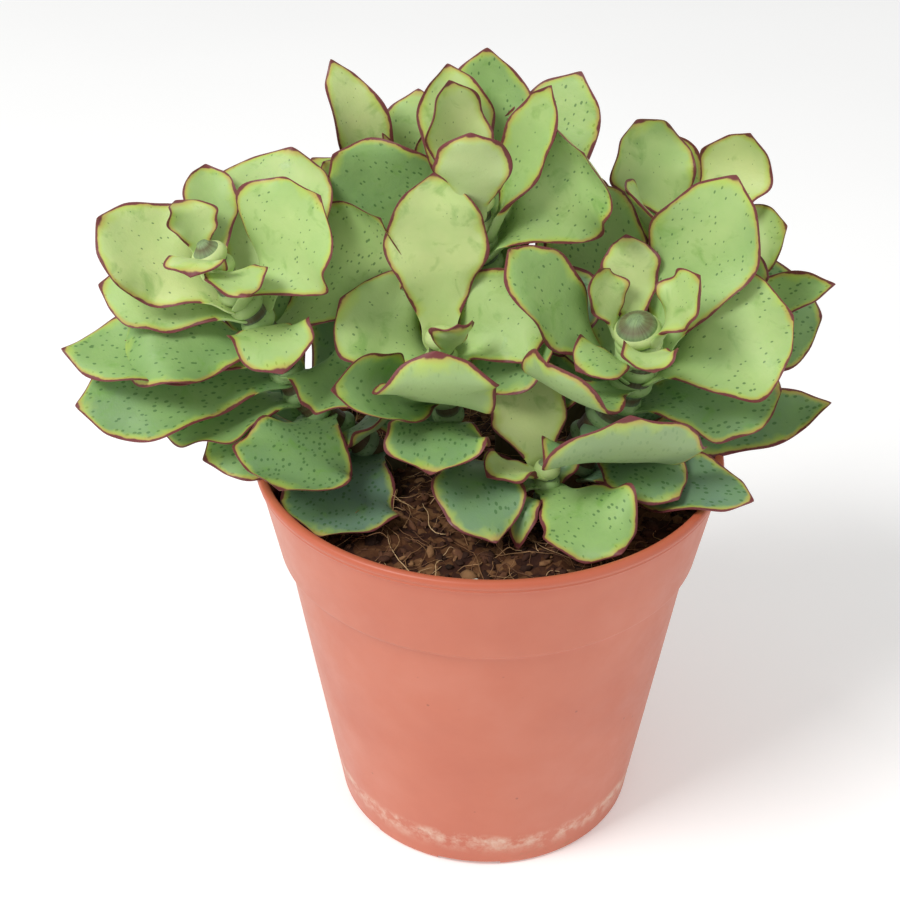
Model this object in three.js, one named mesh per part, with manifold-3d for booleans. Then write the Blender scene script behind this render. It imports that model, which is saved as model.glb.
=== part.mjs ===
// Potted ripple-leaved jade plant: a branching succulent in a moulded plastic nursery pot.
// Millimetres, +Z up, origin at the middle of the pot's foot, front of the plant towards -Y.
import * as THREE from 'three';
import { mergeVertices } from 'three/addons/utils/BufferGeometryUtils.js';
import Module from 'manifold-3d';

const wasm = await Module();
wasm.setup();

// ---------------------------------------------------------------- driving dimensions
const POT_HEIGHT = 108;
const RIM_RADIUS = 60;
const FOOT_RADIUS = 41;
const COLLAR_FOOT_Z = 83; // where the wide collar under the rim begins
const WALL = 1.5;
const FLOOR = 2.4;
const POT_SIDES = 44;
const SOIL_SIDES = 28;
const FOOT_RECESS = 1.3; // how far the middle of the floor stands clear of the ground
const NOTCH_WIDTH = 17;
const NOTCH_ANGLES = [-97, -148, 32, 83]; // degrees, drainage gaps in the foot ring
const DRAIN_HOLE_RADIUS = 4;
const DRAIN_HOLES = 6;
const SOIL_Z = 97;
const GAP = 0.3; // between pieces that touch
const SLIVER = 0.004; // how far a surface may move to close up slivers where shapes join
const COLLAR_WALL = 1.5; // the joined leaf bases round a stem
const COLLAR_HEIGHT = 3.6;
const COLLAR_SIDES = 6;
const LEAF_THICKNESS = 2.2;
const NECK = 0.34; // width of a leaf's base against its widest place
const WIDEST = 0.6; // how far along a leaf it is widest
const RIPPLE = 0.07; // how far a margin waves up and down against the leaf's width
const WAVES = 1.3; // how many times a margin waves along a leaf
const CURLS_FROM = 0.55; // how far along a leaf its tip begins to curl
const ROLLED_BY = 0.4; // how far along a leaf its face has rolled over in full

const rad = THREE.MathUtils.degToRad;
const vec = (x, y, z) => new THREE.Vector3(x, y, z);
const part = new THREE.Group();
part.name = 'potted_jade_plant';

// ---------------------------------------------------------------- solids and meshes
function solidOf(geometry) {
  const bare = geometry.clone();
  bare.deleteAttribute('normal');
  bare.deleteAttribute('uv');
  const merged = mergeVertices(bare, 1e-3);
  const solid = new wasm.Manifold(new wasm.Mesh({
    numProp: 3,
    vertProperties: merged.attributes.position.array,
    triVerts: new Uint32Array(merged.index.array),
  }));
  if (solid.volume() <= 0) throw new Error('a shell has its faces pointing in');
  return solid;
}

function geometryOf(solid) {
  const mesh = solid.getMesh();
  const geometry = new THREE.BufferGeometry();
  geometry.setAttribute('position', new THREE.BufferAttribute(mesh.vertProperties.slice(), 3));
  geometry.setIndex(new THREE.BufferAttribute(mesh.triVerts.slice(), 1));
  geometry.computeVertexNormals();
  return geometry;
}

// A solid with the slivers left by joining or cutting it closed up.
function withoutSlivers(solid) {
  return solid.asOriginal().simplify(SLIVER);
}

function addPiece(name, geometry, colour, roughness) {
  const material = new THREE.MeshStandardMaterial({ color: colour, roughness, metalness: 0 });
  const mesh = new THREE.Mesh(geometry, material);
  mesh.name = name;
  part.add(mesh);
}

// A closed profile of [radius, height] points turned about Z.
function turned(profile, sides) {
  const points = profile.map(([r, z]) => new THREE.Vector2(r, z));
  return new THREE.LatheGeometry(points, sides).rotateX(Math.PI / 2);
}

// A round bar along a smooth curve.
function bar(curve, radius, steps) {
  const section = new THREE.Shape();
  section.absarc(0, 0, radius, 0, 2 * Math.PI);
  return new THREE.ExtrudeGeometry(section, { extrudePath: curve, steps, curveSegments: 4 });
}

// ---------------------------------------------------------------- pot
function potProfile() {
  const rim = RIM_RADIUS;
  const top = POT_HEIGHT;
  const outside = [
    [0, 0], [14, 0], [15.5, FOOT_RECESS], [33.5, FOOT_RECESS], [35, 0],
    [FOOT_RADIUS - 0.6, 0], [FOOT_RADIUS, 0.8], [53, COLLAR_FOOT_Z - 2], [54.8, COLLAR_FOOT_Z - 0.6],
    [rim - 0.9, top - 3.2], [rim - 0.3, top - 2.8], [rim - 0.5, top - 2.2], [rim, top - 1.6],
  ];
  const lip = [[rim, top - 0.7], [rim - 0.6, top], [rim - 1.9, top], [rim - 2.5, top - 0.6]];
  const inside = [
    [rim - 2.5, top - 3.6], [54.6 - WALL, COLLAR_FOOT_Z + 1.4], [52.8 - WALL, COLLAR_FOOT_Z - 0.6],
    [FOOT_RADIUS + 0.4 - WALL, FLOOR + 1.6], [FOOT_RADIUS - 1.4 - WALL, FLOOR], [0, FLOOR],
  ];
  return [...outside, ...lip, ...inside];
}

function pot() {
  let body = solidOf(turned(potProfile(), POT_SIDES));
  const notch = solidOf(new THREE.BoxGeometry(14, NOTCH_WIDTH, 2 * FOOT_RECESS));
  for (const angle of NOTCH_ANGLES) {
    const a = rad(angle);
    body = body.subtract(notch.rotate([0, 0, angle]).translate([40 * Math.cos(a), 40 * Math.sin(a), 0]));
  }
  const hole = solidOf(new THREE.CylinderGeometry(DRAIN_HOLE_RADIUS, DRAIN_HOLE_RADIUS, 3 * FLOOR, 12)
    .rotateX(Math.PI / 2));
  for (let k = 0; k < DRAIN_HOLES; k++) {
    const a = rad(k * 360 / DRAIN_HOLES);
    body = body.subtract(hole.translate([25 * Math.cos(a), 25 * Math.sin(a), 1]));
  }
  return body;
}

// ---------------------------------------------------------------- stems
// Each stem is [radius, points of its middle line from inside the soil to its growing tip].
const STEMS = {
  left: [3.4, [[-22, 11, 88], [-27, 9, 98], [-36, 6, 108], [-48, 4, 121], [-55, 1, 139], [-61, -1, 151],
    [-66, -3, 160], [-68.5, -4.3, 166.5]]],
  middle: [3.0, [[-6, 0, 88], [-8, 0, 100], [-11, -5, 125], [-12, -7, 136], [-12, -8, 145]]],
  top: [3.6, [[7, 12, 88], [6, 12, 100], [4, 14, 122], [1, 14, 145], [-3, 10, 162], [-4, 8, 174]]],
  right: [4.8, [[14, -4, 88], [18, -3, 98], [26, -2, 112], [33, -4, 126], [36, -7, 138], [34, -10.5, 149.5]]],
  back: [3.6, [[20, 26, 88], [24, 29, 100], [36, 32, 125], [45, 31, 140], [50, 29, 150], [52, 28, 157]]],
  rear: [3.2, [[-12, 22, 88], [-14, 25, 100], [-17, 28, 138], [-20, 30, 151], [-21, 30, 160]]],
  low: [2.2, [[15, -16, 88], [14, -17, 96], [14, -17, 104], [14, -17, 114]]],
};
const stemCurves = {};
const stemRadii = {};
for (const [name, [radius, points]] of Object.entries(STEMS)) {
  stemCurves[name] = new THREE.CatmullRomCurve3(points.map((p) => vec(...p)));
  stemRadii[name] = radius;
}

// The place on a stem's curve at a given height.
function placeAt(curve, height) {
  let low = 0;
  let high = 1;
  for (let k = 0; k < 24; k++) {
    const middle = (low + high) / 2;
    if (curve.getPoint(middle).z < height) low = middle;
    else high = middle;
  }
  return { point: curve.getPoint(low), along: curve.getTangent(low) };
}

// ---------------------------------------------------------------- leaves
// A leaf: azimuth and rise of its chord, length, width, roll of its face about the chord, bend
// (how far its middle stands above the chord), cup of its left and right halves, twist to the tip,
// curl (how far the tip turns up from the chord) and sickle (how far its middle stands to the left).
const leaf = (az, rise, length, width, roll = 0, bend = 2, cupLeft = 15, cupRight = 15, twist = 0,
  curl = 0, sickle = 0) => (
  { az, rise, length, width, roll, bend, cupLeft, cupRight, twist, curl, sickle });

// Half width along a leaf, from its narrow base to its pointed tip, as a part of the full half width.
function outline(t) {
  if (t < WIDEST) return NECK + (1 - NECK) * Math.sin((Math.PI / 2) * (t / WIDEST)) ** 1.5;
  const u = (t - WIDEST) / (1 - WIDEST);
  return (1 - u * u) ** 0.72;
}

const RINGS = [0.17, 0.38, 0.6, 0.8, 0.94];
// Points round one section, each [across, below the face]: left margin, face, right margin, back.
const SECTION = [[1, 0], [0.55, 0], [0, 0], [-0.55, 0], [-1, 0], [-0.5, 0.85], [0.5, 0.85]];

// The closed shell of one leaf that starts at a base point.
function leafShell(base, form) {
  const { az, rise, length, width, roll, bend, cupLeft, cupRight, twist, curl, sickle } = form;
  const d = vec(Math.cos(rad(rise)) * Math.cos(rad(az)), Math.cos(rad(rise)) * Math.sin(rad(az)),
    Math.sin(rad(rise)));
  const flatUp = vec(-Math.sin(rad(rise)) * Math.cos(rad(az)), -Math.sin(rad(rise)) * Math.sin(rad(az)),
    Math.cos(rad(rise)));
  const up = flatUp.clone().applyAxisAngle(d, rad(roll));
  const beside = up.clone().cross(d);
  const middle = (t) => base.clone().addScaledVector(d, length * t)
    .addScaledVector(up, bend * 4 * t * (1 - t))
    .addScaledVector(up, curl * (Math.max(0, t - CURLS_FROM) / (1 - CURLS_FROM)) ** 2)
    .addScaledVector(beside, sickle * 4 * t * (1 - t));
  const positions = [middle(0)];
  for (const t of RINGS) {
    const tangent = middle(t + 0.01).sub(middle(t - 0.01)).normalize();
    const settled = THREE.MathUtils.smoothstep(t, 0, ROLLED_BY);
    const face = flatUp.clone().applyAxisAngle(d, rad(roll * settled + twist * t));
    face.addScaledVector(tangent, -face.dot(tangent)).normalize();
    const left = face.clone().cross(tangent);
    const half = outline(t) * width / 2;
    const thick = LEAF_THICKNESS * (0.55 + 0.45 * outline(t)) * Math.min(1, 1.25 - 0.7 * t);
    for (const [across, below] of SECTION) {
      const cup = rad(across > 0 ? cupLeft : cupRight) * outline(t);
      const out = Math.abs(across);
      const phase = 2 * Math.PI * WAVES * t + rad(3 * az) * Math.sign(across);
      const wave = RIPPLE * width * settled * Math.sin(phase);
      const p = middle(t)
        .addScaledVector(left, Math.sign(across) * half * out * Math.cos(cup * out))
        .addScaledVector(face, half * out ** 1.6 * Math.sin(cup) + wave * out ** 2 - below * thick);
      positions.push(p);
    }
  }
  positions.push(middle(1));
  const n = SECTION.length;
  const index = [];
  const at = (ring, k) => 1 + ring * n + (k % n);
  for (let k = 0; k < n; k++) {
    index.push(0, at(0, k + 1), at(0, k));
    for (let ring = 0; ring < RINGS.length - 1; ring++) {
      index.push(at(ring, k), at(ring + 1, k + 1), at(ring + 1, k));
      index.push(at(ring, k), at(ring, k + 1), at(ring + 1, k + 1));
    }
    index.push(at(RINGS.length - 1, k), at(RINGS.length - 1, k + 1), positions.length - 1);
  }
  const geometry = new THREE.BufferGeometry();
  geometry.setAttribute('position', new THREE.Float32BufferAttribute(
    positions.flatMap((p) => p.toArray()), 3));
  geometry.setIndex(index);
  return geometry;
}

// The ring that the two joined leaf bases make round the stem.
function collar(place, radius) {
  const outer = radius + 2 * GAP + COLLAR_WALL;
  const half = COLLAR_HEIGHT / 2;
  const profile = [[0, -half], [outer, -half / 2], [outer, half / 2], [0, half]];
  const geometry = turned(profile, COLLAR_SIDES);
  const turn = new THREE.Quaternion().setFromUnitVectors(vec(0, 0, 1), place.along);
  return geometry.applyQuaternion(turn).translate(place.point.x, place.point.y, place.point.z);
}

// Leaf pairs: [height on the stem, first leaf, second leaf], from the growing tip down.
const PAIRS = {
  left: [
    [163.1, leaf(126, 62, 13, 14, 0, 0, 20, 20), leaf(-98, 20, 13, 15, 0, 2, 0, 0)],
    [159, leaf(100, 72, 25, 14, 10, 0, 20, 20), leaf(-65, 4, 17, 15, 0, 3, 10, 10)],
    [152, leaf(-17, 54, 33, 31, 62, 1, 10, 5, 10), leaf(170, 36, 34, 26, -45, 1, 5, 10, 10, 6)],
    [147.5, leaf(-171, 25, 33, 19, -50, 3, 10, 10, 0, 5), leaf(66, 62, 37, 34, 10, -2, 15, 15)],
    [143.5, leaf(-72, 2, 23, 20, 5, 4, 5, 5), leaf(120, 60, 34, 18, 10, 0, 20, 20)],
    [138.7, leaf(-159, 9, 34, 29, -35, 2, 5, 0), leaf(8, 47, 41, 30, 55, -5, 0, 5)],
    [134, leaf(-172, 6, 48, 22, -40, 3, 10, 10, 20), leaf(77, 63, 46, 16, 10, 0, 20, 20)],
    [128.5, leaf(-163, 0, 48, 28, -35, 3, 5, 5), leaf(-35, 4, 26, 24, 25, 3, 5, 5)],
    [122, leaf(-153, 9, 33, 25, -45, 3, 35, 0), leaf(120, 45, 40, 24, 0, -2, 15, 15)],
    [116, leaf(-114, -6, 33, 30, -15, 3, 0, 0), leaf(55, 42, 40, 26, 10, 0, 10, 10)],
    [110, leaf(-147, 2, 42, 26, -25, 4, 0, 0), leaf(-45, 30, 19, 20, 20, 1, 10, 10)],
    [104, leaf(-105, -3, 38, 30, -10, 3, 0, 0), leaf(172, 14, 40, 20, -25, 2, 10, 10)],
  ],
  middle: [
    [143, leaf(100, 74, 38, 25, -8, -2, 10, 10), leaf(-70, 50, 12, 12, 0, 0, 20, 20)],
    [137.5, leaf(168, 36, 25, 26, -50, 0, 15, 10), leaf(10, 40, 26, 26, 50, 0, 10, 15)],
    [132, leaf(-94, 42, 28, 29, 0, -5, 0, 0), leaf(90, 40, 26, 20, 0, 0, 10, 10)],
    [126, leaf(-155, 45, 34, 22, -55, 0, 45, 40), leaf(-10, 40, 30, 20, 50, 1, 20, 20)],
    [119.5, leaf(-98, 4, 27, 26, 0, 5, 0, 0), leaf(70, 35, 26, 20, 0, 0, 10, 10)],
    [107, leaf(-75, -5, 34, 22, 5, 6, 0, 0), leaf(165, 20, 24, 20, -20, 2, 10, 10)],
  ],
  top: [
    [172, leaf(-96, 64, 25, 18, 0, 0, 5, 5), leaf(140, 82, 28, 18, -20, 0, 20, 20)],
    [166, leaf(-15, 70, 38, 14, 70, -1, 20, 20), leaf(118, 74, 36, 19, -20, 0, 10, 10)],
    [160, leaf(-36, 50, 38, 32, 80, -2, 5, 5), leaf(85, 68, 44, 24, 5, 0, 10, 10)],
    [154, leaf(-172, 56, 43, 28, -70, -2, 5, 5), leaf(30, 72, 48, 24, 30, 0, 5, 5)],
    [148, leaf(128, 60, 40, 20, -30, 0, 10, 10), leaf(36, 64, 50, 13, 30, 0, 30, 30)],
    [142, leaf(172, 50, 48, 12, 0, 0, 20, 20, 0, 3), leaf(95, 55, 44, 24, 0, 0, 10, 10)],
    [135, leaf(-35, 38, 26, 24, 60, -2, 5, 5), leaf(125, 42, 38, 24, 0, 0, 10, 10)],
  ],
  right: [
    [146, leaf(-25, 64, 19, 15, 50, 0, 10, 10), leaf(150, 66, 15, 13, -20, 0, 15, 15)],
    [142.8, leaf(-88, 8, 15, 14, 0, 3, 20, 20), leaf(100, 66, 22, 15, 0, 0, 15, 15)],
    [139.2, leaf(38, 73, 43, 27, 45, -2, 5, 5), leaf(-140, 14, 16, 15, -20, 2, 10, 10)],
    [135, leaf(-3, 28, 35, 34, 45, 2, 5, 0), leaf(168, 52, 50, 24, -50, -2, 5, 5)],
    [130, leaf(-146, 52, 42, 24, -10, -3, 10, 10), leaf(125, 66, 50, 26, -10, 0, 5, 5)],
    [124.5, leaf(165, -10, 26, 20, -40, 2, 5, 5), leaf(-2, 8, 35, 27, 40, 3, 10, 10)],
    [118.5, leaf(-86, 34, 34, 40, 0, -7, 0, 0), leaf(75, 40, 36, 24, 0, 0, 10, 10)],
    [112, leaf(-56, 2, 29, 20, 15, 3, 0, 0), leaf(4, 8, 56, 16, 45, 0, 10, 10, 0, 7)],
    [105, leaf(-34, 3, 45, 20, 20, 4, 0, 0), leaf(-5, 22, 36, 20, 45, 3, 5, 5)],
  ],
  back: [
    [155, leaf(134, 53, 28, 24, -20, 0, 10, 10), leaf(28, 58, 28, 20, 30, 0, 10, 10, 0, 5)],
    [150, leaf(-150, 62, 27, 20, -20, 0, 10, 10), leaf(-11, 20, 24, 20, 50, 0, 10, 10)],
    [144.4, leaf(97, 50, 34, 24, 0, 0, 10, 10), leaf(-45, 20, 31, 18, 50, 0, 15, 10)],
    [138, leaf(-20, 10, 29, 16, 45, 0, 10, 10, 0, 5), leaf(160, 45, 34, 24, -30, 0, 10, 10)],
    [132, leaf(-6, 10, 48, 14, 40, 2, 15, 15, 0, 6), leaf(75, 30, 36, 26, 0, 2, 10, 10)],
    [126.5, leaf(121, 32, 38, 26, 0, 2, 10, 10), leaf(-22, 8, 50, 33, 50, 3, 5, 5)],
    [119, leaf(50, 5, 38, 26, 10, 3, 10, 10), leaf(-170, 25, 26, 22, -20, 2, 10, 10)],
    [111, leaf(95, 0, 36, 26, 0, 3, 5, 5), leaf(5, 0, 38, 24, 20, 3, 5, 5)],
  ],
  rear: [
    [158, leaf(175, 80, 42, 15, -50, 0, 15, 15, 0, -5), leaf(-20, 60, 20, 14, 40, 0, 20, 20)],
    [151, leaf(78, 78, 38, 22, 0, 0, 10, 10), leaf(-165, 52, 30, 20, -40, 0, 10, 10)],
    [144, leaf(150, 50, 38, 26, -10, 0, 10, 10), leaf(40, 50, 34, 24, 0, 0, 10, 10)],
    [136, leaf(105, 35, 40, 26, 0, 2, 10, 10), leaf(-165, 35, 34, 24, -30, 2, 10, 10)],
    [127, leaf(150, 14, 40, 28, 0, 3, 10, 10), leaf(70, 20, 36, 24, 0, 3, 10, 10)],
  ],
  low: [
    [111.5, leaf(125, 66, 25, 20, -25, 0, 5, 5, 0, -3), leaf(-150, 12, 15, 14, 0, 1, 10, 10)],
    [107.5, leaf(-172, 6, 22, 20, -35, 1, 5, 5), leaf(-24, -4, 30, 24, 20, 3, 5, 5)],
    [103.4, leaf(-84, 11, 38, 18, 0, 8, 0, 0), leaf(70, 20, 14, 12, 0, 1, 5, 5)],
  ],
};

// ---------------------------------------------------------------- building
const placed = [];

function keep(solid) {
  placed.push({ solid, box: solid.boundingBox() });
}

function boxesMeet(a, b) {
  return [0, 1, 2].every((k) => a.min[k] < b.max[k] + GAP && b.min[k] < a.max[k] + GAP);
}

function isClear(solid, own = null) {
  const box = solid.boundingBox();
  return placed.every((other) => {
    if (other.solid === own || !boxesMeet(box, other.box)) return true;
    return other.solid.minGap(solid, GAP) > 0.5 * GAP;
  });
}

// Small turns away from a leaf's own azimuth and rise, nearest first, as crowded leaves push aside.
const TURNS = [[0, 0]];
for (const reach of [3, 6, 9, 12, 16, 20, 25, 30, 37, 45]) {
  for (let k = 0; k < 8; k++) {
    TURNS.push([reach * Math.cos(k * Math.PI / 4), reach * Math.sin(k * Math.PI / 4)]);
  }
}

function settledLeaf({ place, radius, ring }, form) {
  const reach = radius + 2 * GAP + COLLAR_WALL / 4;
  for (const scale of [1, 0.85, 0.7, 0.55, 0.4]) {
    for (const [turn, lift] of TURNS) {
      const tried = { ...form, az: form.az + turn, rise: form.rise + lift,
        length: form.length * scale, width: form.width * scale };
      const outward = vec(Math.cos(rad(tried.az)), Math.sin(rad(tried.az)), 0);
      outward.addScaledVector(place.along, -outward.dot(place.along)).normalize();
      const base = place.point.clone().addScaledVector(outward, reach);
      const solid = solidOf(leafShell(base, tried));
      if (isClear(solid, ring)) return solid;
      solid.delete();
    }
  }
  return null;
}

const potSolid = pot();
keep(potSolid);
addPiece('pot', geometryOf(potSolid), '#c87a63', 0.45);

const soilProfile = [
  [0, FLOOR + GAP], [FOOT_RADIUS - 2 - WALL, FLOOR + GAP], [FOOT_RADIUS - WALL, FLOOR + 2],
  [52.4 - WALL, COLLAR_FOOT_Z - 0.6], [54.2 - WALL, COLLAR_FOOT_Z + 1.4], [54.6, SOIL_Z - 1.5],
  [52, SOIL_Z], [30, SOIL_Z + 1], [0, SOIL_Z + 1.5],
];
let soil = solidOf(turned(soilProfile, SOIL_SIDES));
const sockets = {}; // a stem's own shape with a gap round it
for (const [name, curve] of Object.entries(stemCurves)) {
  const steps = name === 'low' ? 3 : 9;
  const stem = solidOf(bar(curve, stemRadii[name], steps));
  const socket = solidOf(bar(curve, stemRadii[name] + 1.2 * GAP, steps));
  sockets[name] = socket;
  soil = soil.subtract(sockets[name]);
  keep(stem);
  addPiece(`${name}_stem`, geometryOf(stem), '#6a6540', 0.6);
}
keep(soil);
addPiece('soil', geometryOf(withoutSlivers(soil)), '#3a1f14', 0.95);

// Every collar has its place first, so that no leaf takes the room of a pair that comes later.
const joints = Object.entries(PAIRS).flatMap(([name, pairs]) => pairs.map(([height, ...forms], k) => {
  const place = placeAt(stemCurves[name], height);
  const ring = solidOf(collar(place, stemRadii[name])).subtract(sockets[name]);
  const pieceName = `${name}_leaf_pair_${k + 1}`;
  if (!isClear(ring)) throw new Error(`the collar of ${pieceName} has no room`);
  keep(ring);
  return { pieceName, place, radius: stemRadii[name], ring, forms };
}));

for (const joint of joints) {
  let pair = joint.ring;
  for (const form of joint.forms) {
    const one = settledLeaf(joint, form);
    if (one === null) continue;
    keep(one);
    pair = pair.add(one);
  }
  addPiece(joint.pieceName, geometryOf(withoutSlivers(pair)), '#9dbb7d', 0.5);
}

export default part;
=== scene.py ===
"""Potted ripple-leaved jade plant: grown leaves, stems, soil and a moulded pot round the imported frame."""
import math
import bpy
import numpy as np
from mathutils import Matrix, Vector


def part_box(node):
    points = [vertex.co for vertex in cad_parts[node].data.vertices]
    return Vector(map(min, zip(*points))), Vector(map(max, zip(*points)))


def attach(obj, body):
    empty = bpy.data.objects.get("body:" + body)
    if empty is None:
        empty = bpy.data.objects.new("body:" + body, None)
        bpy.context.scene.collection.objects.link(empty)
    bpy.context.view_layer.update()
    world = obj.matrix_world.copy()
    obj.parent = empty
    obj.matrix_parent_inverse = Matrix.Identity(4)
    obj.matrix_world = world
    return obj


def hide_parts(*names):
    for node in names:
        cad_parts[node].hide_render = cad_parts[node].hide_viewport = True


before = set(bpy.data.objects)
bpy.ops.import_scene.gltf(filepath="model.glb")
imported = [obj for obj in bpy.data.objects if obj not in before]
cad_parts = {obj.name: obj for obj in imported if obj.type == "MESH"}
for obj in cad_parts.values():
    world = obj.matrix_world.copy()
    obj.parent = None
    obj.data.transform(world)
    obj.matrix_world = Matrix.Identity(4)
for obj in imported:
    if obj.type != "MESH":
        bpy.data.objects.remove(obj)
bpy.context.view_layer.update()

MM = 0.001

# How a leaf's solid is drawn: where its sections stand along it, where the five points of each
# section's face stand across it, the points round a section, and the outline of its half width.
RINGS = np.array([0.17, 0.38, 0.6, 0.8, 0.94])
ACROSS = np.array([1, 0.55, 0, -0.55, -1])
RING_POINTS = 7
NECK = 0.34  # half width at the base against the widest place
WIDEST = 0.6  # how far along a leaf it is widest
TIP_POWER = 0.72
STEM_SECTIONS = {"low_stem": 4}  # sections of a stem's solid, where they aren't the usual number
USUAL_SECTIONS = 10

# The grown surfaces: points round and along each.
LEAF_AROUND = 44
LEAF_ROWS = 56
STEM_AROUND = 28
STEM_ROWS = 120


# ---------------------------------------------------------------- meshes
def new_mesh(name, points, faces, attributes=None):
    """A mesh from an array of points, arrays of faces with 3 or 4 corners, and values at its points."""
    mesh = bpy.data.meshes.new(name)
    corners = np.concatenate([f.ravel() for f in faces]).astype(np.int32)
    totals = np.concatenate([np.full(len(f), f.shape[1]) for f in faces])
    starts = np.concatenate([[0], np.cumsum(totals)[:-1]]).astype(np.int32)
    mesh.vertices.add(len(points))
    mesh.vertices.foreach_set("co", np.asarray(points, np.float32).ravel())
    mesh.loops.add(len(corners))
    mesh.loops.foreach_set("vertex_index", corners)
    mesh.polygons.add(len(totals))
    mesh.polygons.foreach_set("loop_start", starts)
    mesh.update(calc_edges=True)
    for key, values in (attributes or {}).items():
        kind, field = ("FLOAT", "value") if values.ndim == 1 else ("FLOAT_VECTOR", "vector")
        layer = mesh.attributes.new(key, kind, "POINT")
        layer.data.foreach_set(field, np.asarray(values, np.float32).ravel())
    mesh.shade_smooth()
    return mesh


def add_piece(mesh, material, slot_name, *nodes):
    """Puts a finished mesh in the scene as a piece of the plant that rests with the pot."""
    piece = bpy.data.objects.new(mesh.name, mesh)
    bpy.context.scene.collection.objects.link(piece)
    mesh.materials.clear()
    mesh.materials.append(material)
    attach(piece, "root")
    if nodes:
        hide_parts(*nodes)
    return piece


def tube_faces(rows, columns, first=0):
    """Quads of a grid of rows that each close on themselves, and a fan at each end round a pole.
    The poles are the two points after the grid. Rows run away from the first pole, columns turn
    counter-clockwise seen from the last."""
    grid = first + np.arange(rows * columns).reshape(rows, columns)
    turned = np.roll(grid, -1, axis=1)
    quads = np.stack([grid[:-1], turned[:-1], turned[1:], grid[1:]], axis=-1).reshape(-1, 4)
    start, end = first + rows * columns, first + rows * columns + 1
    low = np.stack([turned[0], grid[0], np.full(columns, start)], axis=-1)
    high = np.stack([grid[-1], turned[-1], np.full(columns, end)], axis=-1)
    return [quads, low, high]


def join_shells(shells):
    """One set of points, faces and attributes from several."""
    points, faces, attributes, count = [], [], {}, 0
    for p, f, a in shells:
        points.append(p)
        faces += [g + count for g in f]
        count += len(p)
        for key, values in a.items():
            attributes.setdefault(key, []).append(values)
    return np.concatenate(points), faces, {k: np.concatenate(v) for k, v in attributes.items()}


def unit(v):
    """v at length 1 along its last axis."""
    return v / np.maximum(np.linalg.norm(v, axis=-1, keepdims=True), 1e-12)


def spline(knots, values, t):
    """A natural cubic spline: second slopes from one linear system, zero at both ends, and straight
    lines beyond them."""
    n = len(knots)
    h = np.diff(knots)
    flat = values.reshape(n, -1)
    system = np.eye(n)
    right = np.zeros_like(flat)
    for k in range(1, n - 1):
        system[k, k - 1:k + 2] = [h[k - 1], 2 * (h[k - 1] + h[k]), h[k]]
        right[k] = 6 * ((flat[k + 1] - flat[k]) / h[k] - (flat[k] - flat[k - 1]) / h[k - 1])
    bend = np.linalg.solve(system, right)
    held = np.clip(t, knots[0], knots[-1])
    k = np.clip(np.searchsorted(knots, held) - 1, 0, n - 2)
    a = ((knots[k + 1] - held) / h[k])[:, None]
    b = 1 - a
    step = h[k][:, None]
    curve = a * flat[k] + b * flat[k + 1] + ((a**3 - a) * bend[k] + (b**3 - b) * bend[k + 1]) * step**2 / 6
    turn = (1 - 3 * a**2) * bend[k] + (3 * b**2 - 1) * bend[k + 1]
    slope = (flat[k + 1] - flat[k]) / step + step / 6 * turn
    curve = curve + slope * (t - held)[:, None]
    return curve.reshape((len(t),) + values.shape[1:])


def smooth(x, low, high):
    """0 below low, 1 above high, and a smooth step between."""
    u = np.clip((x - low) / (high - low), 0, 1)
    return u * u * (3 - 2 * u)


# ---------------------------------------------------------------- reading the frame's solids
def welded(node):
    """Points and triangles of a CAD node with its loose triangles joined, in metres."""
    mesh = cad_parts[node].data
    raw = np.zeros(len(mesh.vertices) * 3, np.float32)
    mesh.vertices.foreach_get("co", raw)
    mesh.calc_loop_triangles()
    triangles = np.zeros(len(mesh.loop_triangles) * 3, np.int32)
    mesh.loop_triangles.foreach_get("vertices", triangles)
    keys = np.round(raw.reshape(-1, 3).astype(float) / (MM * MM)).astype(np.int64)
    points, back = np.unique(keys, axis=0, return_inverse=True)
    triangles = back.reshape(-1)[triangles].reshape(-1, 3)
    return points * MM * MM, triangles


def leaf_rings(node):
    """The sections of each leaf of a pair, tip first. A leaf's tip is a point with seven triangles
    round it, and each ring of seven points is reached across the edges of the ring before."""
    points, triangles = welded(node)
    third = {}
    for a, b, c in triangles.tolist():
        third[a, b], third[b, c], third[c, a] = c, a, b
    counts = np.bincount(triangles.ravel())
    leaves = []
    for tip in np.flatnonzero(counts == RING_POINTS).tolist():
        ring = [next(b for (a, b) in third if a == tip)]
        while len(ring) < RING_POINTS and third[tip, ring[-1]] not in ring:
            ring.append(third[tip, ring[-1]])
        rings = []
        while ring and len(set(ring)) == RING_POINTS:
            rings.append(ring)
            ahead = ring[1:] + ring[:1]
            ring = [third.get((b, a)) for a, b in zip(ring, ahead)]
            if None in ring:
                break
            if any(third.get((a, b)) != c for a, b, c in zip(ring, ring[1:] + ring[:1], ahead)):
                break
        if len(rings) > 2:
            leaves.append((points[tip], [points[r] for r in rings]))
    return leaves


def stem_line(node):
    """Middle points and radius of a stem's solid, from the soil up: its sections lie one above
    another, so its points sorted by height fall into them."""
    points, _ = welded(node)
    sections = STEM_SECTIONS.get(node, USUAL_SECTIONS)
    ordered = points[np.argsort(points[:, 2])].reshape(sections, -1, 3)
    middles = ordered.mean(axis=1)
    radius = np.linalg.norm(ordered - middles[:, None], axis=-1).mean()
    return middles, radius


# ---------------------------------------------------------------- materials
def linear(hex_colour):
    """Linear RGBA from an sRGB hex value."""
    channels = np.array([int(hex_colour[k:k + 2], 16) / 255 for k in (1, 3, 5)])
    light = np.where(channels <= 0.04045, channels / 12.92, ((channels + 0.055) / 1.055) ** 2.4)
    return (*light.tolist(), 1.0)


def start_material(name):
    """An empty material and its node tree."""
    material = bpy.data.materials.new(name)
    material.use_nodes = True
    material.node_tree.nodes.clear()
    return material, material.node_tree


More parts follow.
